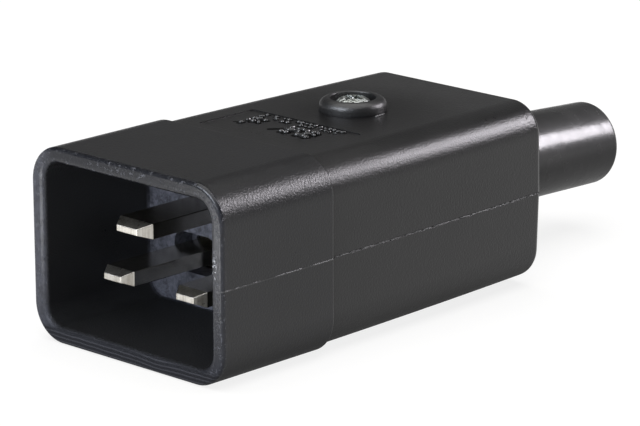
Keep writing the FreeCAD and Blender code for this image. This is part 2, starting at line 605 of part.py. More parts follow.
# Screw and nut that close the shells.
screw = new_body("housing_screw")
pad_z(screw, circle(at_z(screw, D["boss_seat"], 0, D["boss_at"]), D["screw_head"]), D["screw_headup"])
pad_z(screw, circle(at_z(screw, D["boss_seat"], 0, D["boss_at"]), D["screw_dia"]), D["boss_seat"] + D["screw_foot"], True)
dress(screw, "PartDesign::Fillet", edges(screw, lambda b, e: flat_z((D["boss_seat"] + D["screw_headup"]).v)(b)), D["screw_headup"] * 0.48)
for wide, high in ((D["recess_arm"], D["recess_bar"]), (D["recess_bar"], D["recess_arm"])):
    cut_z(screw, rect(at_z(screw, D["boss_seat"] + D["screw_headup"], 0, D["boss_at"]), wide, high), D["recess_deep"])
nut = new_body("housing_nut")
pad_z(nut, hexagon(at_z(nut, -D["nut_seat"], 0, D["boss_at"]), D["nut_flat"]), D["nut_thick"], True)
cut_z(nut, circle(at_z(nut, -D["nut_seat"], 0, D["boss_at"]), D["nut_hole"]), D["nut_thick"] + 1)

# Cord clamp: an arched bar on two posts, with a screw in each ear.
bar = new_body("cable_clamp_bar")
bar_from = D["clamp_at"] - D["clamp_bar_wide"] / 2
pad_y(bar, rect(at_y(bar, bar_from, 0, D["clamp_ear"] / 2), D["clamp_bar_long"], D["clamp_ear"]), D["clamp_bar_wide"])
pad_y(bar, circle(at_y(bar, bar_from), D["clamp_out"] * 2), D["clamp_bar_wide"])
cut_y(bar, circle(at_y(bar, bar_from - 1), D["clamp_in"] * 2), D["clamp_bar_wide"] + 2)
cut_y(bar, rect(at_y(bar, bar_from - 1, 0, -10), 60, 20), D["clamp_bar_wide"] + 2)
for side in (-1, 1):
    cut_z(bar, circle(at_z(bar, D["clamp_ear"] + 0.5, D["clamp_x"] * side, D["clamp_at"]), D["clamp_hole"]), 6)
for word, side in (("left", -1), ("right", 1)):
    cs = new_body("clamp_screw_" + word)
    pad_z(cs, circle(at_z(cs, D["clamp_ear"], D["clamp_x"] * side, D["clamp_at"]), D["clamp_head"]), D["clamp_headup"])
    pad_z(cs, circle(at_z(cs, D["clamp_ear"], D["clamp_x"] * side, D["clamp_at"]), D["clamp_dia"]), D["clamp_ear"] + D["clamp_foot"], True)
    dress(cs, "PartDesign::Fillet", edges(cs, lambda b, e: flat_z((D["clamp_ear"] + D["clamp_headup"]).v)(b)), D["clamp_headup"] * 0.4)
    for wide, high in ((3.0, 0.8), (0.8, 3.0)):
        cut_z(cs, rect(at_z(cs, D["clamp_ear"] + D["clamp_headup"], D["clamp_x"] * side, D["clamp_at"]), wide, high), 1.0)

# Bend sleeve: turned outline about its own axis, flange inside the rear wall, drooping.
sleeve = new_body("bend_sleeve")
outline = sketch(sleeve, "XY_Plane", (0, 0, 0))
poly(outline, [
    (D["sleeve_bore"], -D["shell_rear"] - 2.5),
    (D["sleeve_flange"], -D["shell_rear"] - 2.5),
    (D["sleeve_flange"], -D["shell_rear"] - 0.5),
    (D["sleeve_root"], -D["shell_rear"] - 0.5),
    (D["sleeve_root"], Q(0, "0")),
    (D["sleeve_tail"], D["sleeve_long"]),
    (D["sleeve_bore"], D["sleeve_long"]),
])
revolve(sleeve, outline)
dress(sleeve, "PartDesign::Fillet", edges(sleeve, lambda b, e: flat_y(D["sleeve_long"].v)(b) and b.XMax > D["sleeve_tail"].v - 0.1), D["sleeve_edge"])
dress(sleeve, "PartDesign::Fillet", edges(sleeve, lambda b, e: flat_y(D["sleeve_long"].v)(b) and b.XMax < D["sleeve_tail"].v - 0.9), D["sleeve_edge"] / 2)

# Every piece goes into the shared frame.
for body in bodies:
    if body is sleeve:
        body.Placement = FreeCAD.Placement(FreeCAD.Vector(0, (rear - D["frame_back"]).v, (D["shroud_high"] / 2).v), FreeCAD.Rotation(FreeCAD.Vector(1, 0, 0), -D["sleeve_tilt"].v))
        body.setExpression("Placement.Base.y", (rear - D["frame_back"]).e)
        body.setExpression("Placement.Rotation.Angle", "0 - dims.sleeve_tilt")
    else:
        body.Placement = FreeCAD.Placement(FreeCAD.Vector(0, -D["frame_back"].v, (D["shroud_high"] / 2).v), FreeCAD.Rotation())
        body.setExpression("Placement.Base.y", (-D["frame_back"]).e)
    body.setExpression("Placement.Base.z", (D["shroud_high"] / 2).e)
doc.recompute()

for item in doc.Objects:
    bad = [word for word in item.State if word in ("Invalid", "Error")]
    if bad:
        raise RuntimeError("%s is %s" % (item.Label, bad))
for body in bodies:
    if body.Shape.isNull() or not body.Shape.isValid() or len(body.Shape.Solids) != 1:
        raise RuntimeError("%s has a bad shape" % body.Label)

os.makedirs("parts", exist_ok=True)
for body in bodies:
    body.Shape.exportStep("parts/%s.step" % body.Label)
    box = body.Shape.BoundBox
    print("%-24s volume %9.2f  x %.2f %.2f  y %.2f %.2f  z %.2f %.2f" % (body.Label, body.Shape.Volume, box.XMin, box.XMax, box.YMin, box.YMax, box.ZMin, box.ZMax))
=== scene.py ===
import json
import math
import random

import bmesh
import bpy
import numpy as np
from mathutils import Matrix, Vector


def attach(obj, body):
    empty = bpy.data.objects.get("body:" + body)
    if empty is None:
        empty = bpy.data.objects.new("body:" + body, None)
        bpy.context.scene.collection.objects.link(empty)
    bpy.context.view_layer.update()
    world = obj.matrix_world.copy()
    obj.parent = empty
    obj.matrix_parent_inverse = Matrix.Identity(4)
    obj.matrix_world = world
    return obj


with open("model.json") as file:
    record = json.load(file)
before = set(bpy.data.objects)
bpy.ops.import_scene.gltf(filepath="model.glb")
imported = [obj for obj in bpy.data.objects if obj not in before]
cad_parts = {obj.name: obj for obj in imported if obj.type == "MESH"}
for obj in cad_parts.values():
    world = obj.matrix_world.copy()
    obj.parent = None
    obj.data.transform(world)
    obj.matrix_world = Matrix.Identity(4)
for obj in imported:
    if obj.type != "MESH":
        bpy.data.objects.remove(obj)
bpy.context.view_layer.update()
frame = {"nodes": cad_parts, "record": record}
nodes = frame["nodes"]
MM = 0.001
scene = bpy.context.scene

# main places of the part in the shared frame, millimetres
RIM_Y, JOINT_Y, REAR_Y = -45.0022, -25.3022, 16.3778
SEAM_Z = 12.85
FIELD_Z = 24.98


def plug_y(y):
    """Distance behind the rim to the shared frame's Y."""
    return y + RIM_Y


def half_wide(y):
    """Half width of the shells at a distance behind the rim."""
    t = (y - 19.7) / 41.96
    return 16.48 - 0.93 * t * t


def top_z(y):
    """Height of the shells' top at a distance behind the rim."""
    return SEAM_Z + 12.36 - 0.263 * (y - 17.7) / 45.4


# ---------------------------------------------------------------- shader helpers
class Tree:
    """Short hand for building a node material."""

    def __init__(self, name):
        self.mat = bpy.data.materials.new(name)
        self.mat.use_nodes = True
        self.t = self.mat.node_tree
        self.t.nodes.clear()
        self.out = self.t.nodes.new("ShaderNodeOutputMaterial")
        self.bsdf = self.t.nodes.new("ShaderNodeBsdfPrincipled")
        self.link(self.bsdf.outputs[0], self.out.inputs["Surface"])
        self.coord = self.t.nodes.new("ShaderNodeTexCoord").outputs["Object"]

    def link(self, a, b):
        self.t.links.new(a, b)

    def set(self, **values):
        for key, value in values.items():
            self.bsdf.inputs[key.replace("_", " ")].default_value = value

    def into(self, name, value):
        self.link(value, self.bsdf.inputs[name])

    def stretch(self, scale, rotate=(0, 0, 0), at=None):
        n = self.t.nodes.new("ShaderNodeMapping")
        n.inputs["Scale"].default_value = scale
        n.inputs["Rotation"].default_value = rotate
        self.link(at or self.coord, n.inputs["Vector"])
        return n.outputs[0]

    def noise(self, scale, detail=2.0, rough=0.5, at=None, distort=0.0):
        n = self.t.nodes.new("ShaderNodeTexNoise")
        n.inputs["Scale"].default_value = scale
        n.inputs["Detail"].default_value = detail
        n.inputs["Roughness"].default_value = rough
        n.inputs["Distortion"].default_value = distort
        self.link(at or self.coord, n.inputs["Vector"])
        return n.outputs[0]

    def cells(self, scale, at=None, kind="F1", smooth=None):
        n = self.t.nodes.new("ShaderNodeTexVoronoi")
        n.feature = kind
        n.inputs["Scale"].default_value = scale
        if smooth is not None and "Smoothness" in n.inputs:
            n.inputs["Smoothness"].default_value = smooth
        self.link(at or self.coord, n.inputs["Vector"])
        return n.outputs["Distance"]

    def ramp(self, value, stops, kind="LINEAR"):
        n = self.t.nodes.new("ShaderNodeValToRGB")
        n.color_ramp.interpolation = kind
        els = n.color_ramp.elements
        while len(els) < len(stops):
            els.new(0.5)
        for el, (pos, col) in zip(els, stops):
            el.position = pos
            if not hasattr(col, "__len__"):
                col = (col, col, col)
            el.color = (*col, 1.0)
        self.link(value, n.inputs[0])
        return n.outputs[0]

    def span(self, value, a, b, c, d, smooth=False):
        n = self.t.nodes.new("ShaderNodeMapRange")
        if smooth:
            n.interpolation_type = "SMOOTHSTEP"
        for key, v in zip(("From Min", "From Max", "To Min", "To Max"), (a, b, c, d)):
            n.inputs[key].default_value = v
        self.link(value, n.inputs["Value"])
        return n.outputs[0]

    def math(self, kind, a, b=None, clamp=False):
        n = self.t.nodes.new("ShaderNodeMath")
        n.operation = kind
        n.use_clamp = clamp
        for i, v in enumerate((a, b)):
            if v is None:
                continue
            if isinstance(v, (int, float)):
                n.inputs[i].default_value = v
            else:
                self.link(v, n.inputs[i])
        return n.outputs[0]

    def axis(self, which, of=None):
        n = self.t.nodes.new("ShaderNodeSeparateXYZ")
        self.link(of or self.coord, n.inputs[0])
        return n.outputs[which]

    def mix(self, share, a, b):
        n = self.t.nodes.new("ShaderNodeMix")
        n.data_type = "RGBA"
        for i, v in ((0, share), (6, a), (7, b)):
            if hasattr(v, "is_linked") or hasattr(v, "links"):
                self.link(v, n.inputs[i])
            elif i == 0:
                n.inputs[0].default_value = v
            else:
                n.inputs[i].default_value = (*v, 1.0)
        return n.outputs[2]

    def bump(self, height, distance, before=None, strength=1.0):
        n = self.t.nodes.new("ShaderNodeBump")
        n.inputs["Strength"].default_value = strength
        n.inputs["Distance"].default_value = distance
        self.link(height, n.inputs["Height"])
        if before is not None:
            self.link(before, n.inputs["Normal"])
        return n.outputs[0]


def moulded(name, dark, light, rough, rim=False):
    """Black moulded plastic with a fine spark-eroded grain."""
    m = Tree(name)
    cloud = m.noise(95.0, 4.0, 0.6)
    grain = m.noise(3700.0, 1.5, 0.55)
    micro = m.noise(9000.0, 1.0, 0.5)
    tint = m.math("ADD", m.math("MULTIPLY", cloud, 0.75), m.math("MULTIPLY", grain, 0.25))
    colour = m.ramp(tint, [(0.3, dark), (0.7, light)])
    roughness = m.span(m.math("ADD", cloud, m.math("MULTIPLY", grain, 0.5)), 0.45, 1.05, rough - 0.04, rough + 0.05)
    # painted light: the top is coloured lighter towards the rear, in a mottled patch
    top_rear_painted_light = m.math("MULTIPLY", m.span(m.axis(1), -0.006, 0.016, 0.0, 1.0, True), m.span(m.axis(2), 0.0243, 0.0249, 0.0, 1.0))
    colour = m.mix(m.math("MULTIPLY", top_rear_painted_light, m.span(m.noise(620.0, 3.0, 0.65), 0.3, 0.7, 0.6, 1.0)), colour, (0.0195, 0.0195, 0.0193))
    normal = m.bump(micro, 0.000012, m.bump(grain, 0.000036))
    if rim:
        x, y, z = m.axis(0), m.axis(1), m.axis(2)
        # the rim was sheared and handled: satin, with small nicks; its bluish ground colour is painted light and shade,
        # lightest on the left, lighter on the right, darkest at the top
        edge = m.span(y, (RIM_Y + 1.0) * MM, (RIM_Y + 0.2) * MM, 0.0, 1.0, True)
        nicks = m.span(m.noise(1900.0, 3.0, 0.7), 0.58, 0.66, 0.0, 1.0)
        at_left = m.span(x, -0.0155, -0.0125, 1.0, 0.0, True)
        at_right = m.span(x, 0.0130, 0.0155, 0.0, 1.0, True)
        at_top = m.span(z, 0.0225, 0.0245, 0.0, 1.0, True)
        # painted light and shade: the rim's top, right and left each get their own ground colour
        ground = m.mix(at_top, (0.0080, 0.0084, 0.0105), (0.0050, 0.0053, 0.0068))
        ground = m.mix(at_right, ground, (0.0112, 0.0117, 0.0146))
        ground = m.mix(at_left, ground, (0.0250, 0.0258, 0.0315))
        ground = m.mix(m.span(m.noise(800.0, 3.0, 0.7), 0.40, 0.66, 0.0, 0.6), ground, (0.0060, 0.0062, 0.0075))
        rim_wear_and_painted_light = m.mix(nicks, ground, (0.036, 0.037, 0.043))
        # white specks where the parting line meets the rim on the right
        near = m.math("MULTIPLY", m.span(m.math("ABSOLUTE", m.math("SUBTRACT", z, (SEAM_Z + 3.0) * MM)), 0.0004, 0.0024, 1.0, 0.0, True), m.math("MULTIPLY", m.span(x, 0.0149, 0.0151, 0.0, 1.0), m.span(x, 0.0158, 0.0161, 1.0, 0.0)))
        specks = m.math("MULTIPLY", m.span(m.noise(3600.0, 1.0, 0.5), 0.57, 0.62, 0.0, 1.0), near)
        rim_wear_and_painted_light = m.mix(specks, rim_wear_and_painted_light, (0.36, 0.36, 0.37))
        # fine tool lines along the bottom of the rim, over painted shade that darkens the bottom of the rim
        wander = m.math("MULTIPLY", m.noise(170.0, 2.0), 0.0007)
        ribs = m.math("SINE", m.math("MULTIPLY", m.math("ADD", z, wander), 2 * math.pi / 0.00052))
        low = m.span(z, 0.0021, 0.0017, 0.0, 1.0)
        rim_wear_and_painted_light = m.mix(m.math("MULTIPLY", m.span(ribs, 0.2, 0.9, 0.0, 1.0), low), m.mix(low, rim_wear_and_painted_light, (0.0062, 0.0064, 0.0078)), (0.0185, 0.0188, 0.0215))
        colour = m.mix(edge, colour, rim_wear_and_painted_light)
        # the floor of the recess is coarser; its paler, bluish colour is painted light
        within = m.math("MULTIPLY", m.span(m.math("ABSOLUTE", x), 0.0150, 0.0153, 1.0, 0.0), m.span(m.math("ABSOLUTE", m.math("SUBTRACT", z, SEAM_Z * MM)), 0.0109, 0.0112, 1.0, 0.0))
        colour = m.mix(m.math("MULTIPLY", within, m.math("SUBTRACT", 1.0, edge)), colour, m.ramp(cloud, [(0.3, (0.0082, 0.0083, 0.0087)), (0.7, (0.0112, 0.0113, 0.0118))]))
        deep = m.math("MULTIPLY", m.span(y, (RIM_Y + 17.9) * MM, (RIM_Y + 18.4) * MM, 0.0, 1.0), within)
        pitted = m.noise(1300.0, 3.0, 0.7)
        # painted light: the back wall of the recess is coloured paler and bluish to look lit from the front
        back_wall_painted_light = m.ramp(pitted, [(0.36, (0.0170, 0.0178, 0.0225)), (0.64, (0.0620, 0.0645, 0.0780))])
        colour = m.mix(deep, colour, back_wall_painted_light)
        roughness = m.math("ADD", roughness, m.math("MULTIPLY", deep, 0.14))
        roughness = m.math("SUBTRACT", roughness, m.math("MULTIPLY", edge, 0.10))
        normal = m.bump(m.math("MULTIPLY", pitted, deep), 0.00012, normal)
        # fine parting line along the sides, level with the seam of the shells
        line = m.span(m.math("ABSOLUTE", m.math("SUBTRACT", z, SEAM_Z * MM)), 0.00003, 0.00012, 1.0, 0.0, True)
        side = m.span(m.math("ABSOLUTE", x), 0.0167, 0.0169, 0.0, 1.0)
        gaps = m.span(m.noise(420.0, 3.0, 0.7), 0.42, 0.56, 0.25, 1.0)
        flash = m.math("MULTIPLY", m.math("MULTIPLY", line, side), gaps)
        colour = m.mix(flash, colour, (0.050, 0.050, 0.051))
        normal = m.bump(flash, 0.00006, normal)
        normal = m.bump(m.math("MULTIPLY", m.math("ADD", nicks, specks), edge), 0.00004, normal)
    # the screw boss is polished by handling and glossier; its darker colour is painted shade
    off = m.math("ADD", m.axis(1), 0.0037022)
    reach = m.math("SQRT", m.math("ADD", m.math("MULTIPLY", m.axis(0), m.axis(0)), m.math("MULTIPLY", off, off)))
    boss = m.math("MULTIPLY", m.span(reach, 0.0046, 0.0049, 1.0, 0.0), m.span(m.axis(2), 0.02515, 0.02545, 0.0, 1.0))
    # painted shade round the foot of the boss, darker and less glossy, and an underside rubbed dull on the table
    boss_foot_painted_shade = m.math("MULTIPLY", m.span(reach, 0.0047, 0.0165, 1.0, 0.0, True), m.span(m.axis(2), 0.0240, 0.0246, 0.0, 1.0))
    boss_foot_painted_shade = m.math("SUBTRACT", boss_foot_painted_shade, boss, True)
    under = m.span(m.axis(2), 0.0012, 0.0062, 1.0, 0.0, True)
    gloss = m.math("ADD", 0.30, m.math("MULTIPLY", boss, 0.20))
    gloss = m.math("SUBTRACT", gloss, m.math("ADD", m.math("MULTIPLY", boss_foot_painted_shade, 0.13), m.math("MULTIPLY", under, 0.23)), True)
    roughness = m.math("ADD", roughness, m.math("ADD", m.math("MULTIPLY", boss, 0.08), m.math("MULTIPLY", under, 0.32)))
    # painted shade: the boss and the ring round its foot are coloured darker
    colour = m.mix(m.math("ADD", m.math("MULTIPLY", boss_foot_painted_shade, 0.55), m.math("MULTIPLY", boss, 0.75), True), colour, (0.0042, 0.0042, 0.0044))
    m.into("Base Color", colour)
    m.into("Roughness", roughness)
    m.into("Specular IOR Level", gloss)
    m.into("Normal", normal)
    m.set(IOR=1.5)
    return m.mat


def blade(name, tip_from, tip_to):
    """Nickel plate over brass: bright drawn flanks, ground tip with upright scratches."""
    m = Tree(name)
    at_tip = m.span(m.axis(1), tip_to * MM, (tip_to - 0.08) * MM, 0.0, 1.0, True)
    cloud = m.noise(520.0, 3.0, 0.6)
    drawn = m.noise(2600.0, 3.0, 0.65, at=m.stretch((1.0, 0.05, 1.0)))
    ground = m.noise(3600.0, 3.0, 0.7, at=m.stretch((1.0, 1.0, 0.05)))
    plate = m.ramp(m.math("ADD", m.math("MULTIPLY", cloud, 0.6), m.math("MULTIPLY", drawn, 0.4)), [(0.3, (0.46, 0.43, 0.355)), (0.7, (0.60, 0.565, 0.475))])
    tip = m.ramp(m.math("ADD", m.math("MULTIPLY", cloud, 0.35), m.math("MULTIPLY", ground, 0.65)), [(0.32, (0.33, 0.305, 0.265)), (0.5, (0.52, 0.50, 0.455)), (0.72, (0.66, 0.645, 0.60))])
    m.into("Base Color", m.mix(at_tip, plate, tip))
    shine = m.span(m.math("ADD", cloud, drawn), 0.6, 1.4, 0.13, 0.24)
    m.into("Roughness", m.math("ADD", shine, m.math("MULTIPLY", at_tip, 0.12)))
    marks = m.math("ADD", m.math("MULTIPLY", drawn, 0.2), m.math("MULTIPLY", m.math("MULTIPLY", ground, at_tip), 1.0))
    m.into("Normal", m.bump(marks, 0.000012))
    m.set(Metallic=1.0)
    return m.mat


def zinc(name):
    """Zinc plate; the screw head is chewed by the tool, and the rest is as plated."""
    m = Tree(name)
    cloud = m.noise(900.0, 3.0, 0.65)
    spangle = m.cells(2600.0)
    m.into("Base Color", m.ramp(m.math("ADD", m.math("MULTIPLY", cloud, 0.6), m.math("MULTIPLY", spangle, 0.4)), [(0.25, (0.15, 0.16, 0.15)), (0.65, (0.43, 0.45, 0.43))]))
    m.into("Roughness", m.span(m.math("ADD", cloud, spangle), 0.5, 1.2, 0.22, 0.40))
    chewed = m.span(m.axis(2), 0.0180, 0.0200, 0.09, 1.0)
    m.into("Normal", m.bump(m.math("MULTIPLY", chewed, m.math("ADD", m.math("MULTIPLY", spangle, 0.6), cloud)), 0.00022))
    m.set(Metallic=1.0)
    return m.mat


def rubber(name):
    m = Tree(name)
    cloud = m.noise(230.0, 3.0, 0.6)
    fine = m.noise(2400.0, 2.0, 0.5)
    patch = m.noise(560.0, 2.5, 0.6)
    m.into("Base Color", m.ramp(cloud, [(0.3, (0.0125, 0.0125, 0.0128)), (0.75, (0.0185, 0.0183, 0.0182))]))
    m.into("Roughness", m.span(cloud, 0.3, 0.7, 0.50, 0.58))
    m.into("Coat Roughness", m.span(m.math("ADD", cloud, m.math("MULTIPLY", patch, 0.6)), 0.5, 1.1, 0.18, 0.31))
    # the skin is duller underneath, where it rubs
    skin = m.span(m.axis(2), 0.0112, 0.0152, 0.0, 1.0, True)
    m.into("Coat Weight", m.span(skin, 0.0, 1.0, 0.30, 0.85))
    m.into("Specular IOR Level", m.span(skin, 0.0, 1.0, 0.05, 0.24))
    ripple = m.bump(m.math("ADD", patch, m.math("MULTIPLY", fine, 0.10)), 0.000045)
    m.into("Normal", ripple)
    m.into("Coat Normal", ripple)
    m.set(IOR=1.5, Coat_IOR=1.4)
    return m.mat


def plain_black(name, level):
    m = Tree(name)
    fine = m.noise(4200.0, 2.0, 0.6)
    m.into("Base Color", m.ramp(fine, [(0.3, (level, level, level)), (0.7, (level * 1.5, level * 1.5, level * 1.5))]))
    m.into("Roughness", m.span(fine, 0.3, 0.7, 0.45, 0.6))
    m.into("Normal", m.bump(fine, 0.00002))
    m.set(IOR=1.45, Specular_IOR_Level=0.03)
    return m.mat


def glossy_mark(name):
    """Raised moulded marks: the same plastic, polished by handling."""
    m = Tree(name)
    fine = m.noise(3000.0, 2.0, 0.5)
    m.into("Base Color", m.ramp(fine, [(0.3, (0.010, 0.010, 0.010)), (0.7, (0.026, 0.026, 0.026))]))
    m.into("Roughness", m.span(fine, 0.3, 0.7, 0.14, 0.26))
    m.into("Normal", m.bump(fine, 0.00001))
    m.set(IOR=1.5, Specular_IOR_Level=0.5)
    return m.mat


def flash_line(name):
    """Thin plastic flash, whitened where it was broken off."""
    m = Tree(name)
    bits = m.noise(700.0, 3.0, 0.7)
    m.into("Base Color", m.ramp(bits, [(0.38, (0.020, 0.020, 0.020)), (0.54, (0.052, 0.052, 0.052)), (0.68, (0.135, 0.135, 0.133))]))
    m.into("Roughness", m.span(bits, 0.3, 0.7, 0.35, 0.6))
    m.into("Normal", m.bump(m.noise(5000.0, 2.0), 0.00002))
    m.set(IOR=1.5, Specular_IOR_Level=0.4)
    return m.mat


body_mat = moulded("body_plastic", (0.0086, 0.0085, 0.0085), (0.0118, 0.0117, 0.0116), 0.31)
shroud_mat = moulded("shroud_plastic", (0.0084, 0.0084, 0.0087), (0.0114, 0.0114, 0.0119), 0.31, rim=True)
inner_mat = moulded("inner_plastic_smooth", (0.020, 0.020, 0.020), (0.028, 0.028, 0.028), 0.4)
pin_mat = blade("pin_plated", -41.14, -39.60)
earth_mat = blade("earth_pin_plated", -44.62, -42.84)
zinc_mat = zinc("screw_plated")
rubber_mat = rubber("sleeve_rubber_black")
mark_mat = glossy_mark("raised_marks")
flash_mat = flash_line("seam_flash_plastic")
# painted shadow: flat black for the pads in the data field
painted_shadow_mat = plain_black("painted_shadow_black", 0.0025)

by_slot = {"shroud_black": shroud_mat, "body_black": body_mat, "pin_nickel": pin_mat, "inner_plastic": inner_mat, "screw_zinc": zinc_mat, "sleeve_rubber": rubber_mat}
for row in frame["record"]["subparts"]:
    o = nodes[row["node"]]
    o.data.materials.clear()
    o.data.materials.append(earth_mat if row["node"] == "earth_pin" else by_slot[row["material_slot"]])


# ---------------------------------------------------------------- added detail
def piece(name, bm, mat, smooth=True):
    """A mesh in millimetres becomes a piece that rides on the plug."""
    bmesh.ops.scale(bm, vec=(MM, MM, MM), verts=bm.verts)
    bmesh.ops.recalc_face_normals(bm, faces=bm.faces)
    me = bpy.data.meshes.new(name)
    bm.to_mesh(me)
    bm.free()
    for p in me.polygons:
        p.use_smooth = smooth
    o = bpy.data.objects.new(name, me)
    scene.collection.objects.link(o)
    me.materials.append(mat)
    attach(o, "root")
    return o


def tube(bm, path, radius, sides=6, closed=False):
    """A round bead along points; radius is a number or one number for each point."""
    n = len(path)
    pts = [Vector(p) for p in path]
    rings = []
    for i, p in enumerate(pts):
        a = pts[i - 1] if closed or i else pts[i]
        b = pts[(i + 1) % n] if closed or i < n - 1 else pts[i]
        t = (b - a).normalized()
        ref = Vector((0, 0, 1)) if abs(t.z) < 0.8 else Vector((0, 1, 0))
        u = t.cross(ref).normalized()
        w = u.cross(t)
        r = radius[i] if hasattr(radius, "__len__") else radius
        rings.append([bm.verts.new(p + (u * math.cos(k) + w * math.sin(k)) * r) for k in [2 * math.pi * j / sides for j in range(sides)]])
    last = n if closed else n - 1
    for i in range(last):
        a, b = rings[i], rings[(i + 1) % n]
        for j in range(sides):
            bm.faces.new((a[j], a[(j + 1) % sides], b[(j + 1) % sides], b[j]))
    if not closed:
        bm.faces.new(rings[0][::-1])
        bm.faces.new(rings[-1])


def dot(bm, x, y, z, r, h, round_=14):
    """A small raised dot on a level surface: steep side, rounded head."""
    profile = [(1.0, -0.05), (0.97, 0.40), (0.88, 0.66), (0.72, 0.84), (0.50, 0.95), (0.25, 0.99)]
    rows = [[bm.verts.new((x + r * k * math.cos(t), y + r * k * math.sin(t), z + h * up)) for t in [2 * math.pi * j / round_ for j in range(round_)]] for k, up in profile]
    for a, b in zip(rows, rows[1:]):
        for j in range(round_):
            bm.faces.new((a[j], a[(j + 1) % round_], b[(j + 1) % round_], b[j]))
    bm.faces.new(rows[-1])
    bm.faces.new(rows[0][::-1])


def bar(bm, x0, y0, x1, y1, z, wide, high, ends=6):
    """A raised bar with round ends and a rounded crown, from point to point."""
    a, b = Vector((x0, y0)), Vector((x1, y1))
    t = (b - a).normalized()
    s = Vector((-t.y, t.x))
    loops = []
    for share, lift in ((1.0, -0.02), (0.96, 0.45), (0.80, 0.80), (0.45, 1.0)):
        ring = []
        for end, mid in ((b, 1), (a, -1)):
            for j in range(ends + 1):
                k = -math.pi / 2 + math.pi * j / ends
                off = t * (math.cos(k) * mid) + s * (math.sin(k) * mid)
                p = end + off * (wide / 2 * share)
                ring.append(bm.verts.new((p.x, p.y, z + (high * lift if lift > 0 else lift))))
        loops.append(ring)
    n = len(loops[0])
    for i in range(len(loops) - 1):
        for j in range(n):
            bm.faces.new((loops[i][j], loops[i][(j + 1) % n], loops[i + 1][(j + 1) % n], loops[i + 1][j]))
    bm.faces.new(loops[-1])
    bm.faces.new(loops[0][::-1])


rng = random.Random(7)

# flash along the seam of the shells: a broken, uneven bead on both sides
for word, side in (("left", -1), ("right", 1)):
    bm = bmesh.new()
    y = 20.1
    while y < 60.0:
        run = rng.uniform(0.7, 3.4)
        stop = min(y + run, 60.2)
        count = max(3, int((stop - y) / 0.25))
        path, radii = [], []
        thick = rng.uniform(0.035, 0.060)
        for i in range(count + 1):
            yy = y + (stop - y) * i / count
            swell = max(0.0, math.sin(math.pi * i / count)) ** 0.5
            path.append((side * (half_wide(yy) - 0.05), plug_y(yy), SEAM_Z + rng.uniform(-0.012, 0.012)))
            radii.append(0.03 + thick * swell * rng.uniform(0.75, 1.15))
        tube(bm, path, radii)
        y = stop + rng.choice((0.05, 0.1, 0.15, 0.35))
    for k in range(16):
        yy = rng.uniform(20.5, 60.0)
        r = rng.uniform(0.06, 0.09)
        p = (side * (half_wide(yy) - 0.03), plug_y(yy), SEAM_Z)
        tube(bm, [(p[0], p[1] - 0.14, p[2]), (p[0] + side * 0.02, p[1], p[2] + 0.01), (p[0], p[1] + 0.14, p[2])], [0.03, r, 0.03])
    piece("seam_flash_" + word, bm, flash_mat)

# and across the rear face, from each side to the sleeve
for word, side in (("left", -1), ("right", 1)):
    bm = bmesh.new()
    path = [(side * x, REAR_Y + 0.01, SEAM_Z + rng.uniform(-0.01, 0.01)) for x in np.linspace(7.2, 14.4, 26)]
    tube(bm, path, [rng.uniform(0.04, 0.09) for p in path])
    piece("rear_flash_" + word, bm, flash_mat)

# small bead left in the joint between shroud and shells
bm = bmesh.new()
a, b, r = 16.60, 12.47, 4.55
path = []
for cx, cz, k0 in ((a - r, b - r, 0), (-a + r, b - r, 90), (-a + r, -b + r, 180), (a - r, -b + r, 270)):
    for j in range(13):
        k = math.radians(k0 + 90 * j / 12)
        path.append((cx + r * math.cos(k), JOINT_Y + 0.06, SEAM_Z + cz + r * math.sin(k)))
tube(bm, path, 0.13, 8, True)
piece("joint_bead", bm, body_mat)

# data field: plain dots and dashes in place of a maker's lettering, each on a dark flat pad painted as its shadow, and
# two loose dark flat pads painted as the shade of sunk dashes
bm, pads = bmesh.new(), bmesh.new()


def mark(x, y, size):
    """A short raised dash or a dot, on a dark flat pad that is painted shadow."""
    x, y = x + rng.uniform(-0.10, 0.10), plug_y(y + rng.uniform(-0.12, 0.12))
    size *= rng.uniform(0.85, 1.12)
    # painted shadow: every mark gets a dark flat pad under it
    if rng.random() < 0.45:
        dot(bm, x, y, FIELD_Z, size * 0.62, size * 0.62)
        bar(pads, x - 0.1, y - size * 0.3, x + 0.1, y + size * 0.3, FIELD_Z, size * 1.75, 0.012)
    else:
        way = math.radians(rng.choice((0, 90, 90, 45, 135)))
        dx, dy = math.cos(way) * size * 0.42, math.sin(way) * size * 0.42
        bar(bm, x - dx, y - dy, x + dx, y + dy, FIELD_Z, size * 0.66, size * 0.58)
        bar(pads, x - dx, y - dy, x + dx, y + dy, FIELD_Z, size * 1.30, 0.012)


blocks = (
    # columns, rows, size, share left out
    (np.linspace(-6.3, -4.5, 3), np.linspace(26.8, 29.4, 3), 0.62, 0.12),
    (np.linspace(0.9, 5.4, 6), np.linspace(26.9, 29.0, 3), 0.66, 0.12),
    (np.linspace(-6.3, 2.3, 12), (30.7, 31.8), 0.46, 0.34),
    (np.linspace(3.4, 7.2, 6), (31.7,), 0.46, 0.10),
    (np.linspace(4.2, 6.6, 4), (30.9,), 0.42, 0.25),
)
for columns, rows, size, gone in blocks:
    for x in columns:
        for y in rows:
            if rng.random() >= gone:
                mark(x, y, size)
piece("field_marks", bm, mark_mat)
# painted shade: two loose dark flat pads stand in for sunk dashes
bar(pads, -7.3, plug_y(26.6), -6.9, plug_y(27.1), FIELD_Z, 0.40, 0.03)
bar(pads, -1.15, plug_y(26.90), 0.10, plug_y(28.38), FIELD_Z, 0.90, 0.03)
piece("field_painted_shadow_pads", pads, painted_shadow_mat)

# short rib beside the boss
bm = bmesh.new()
bar(bm, 4.82, plug_y(40.45), 4.55, plug_y(42.3), top_z(41.4) - 0.01, 0.30, 0.18)
piece("boss_rib", bm, flash_mat)

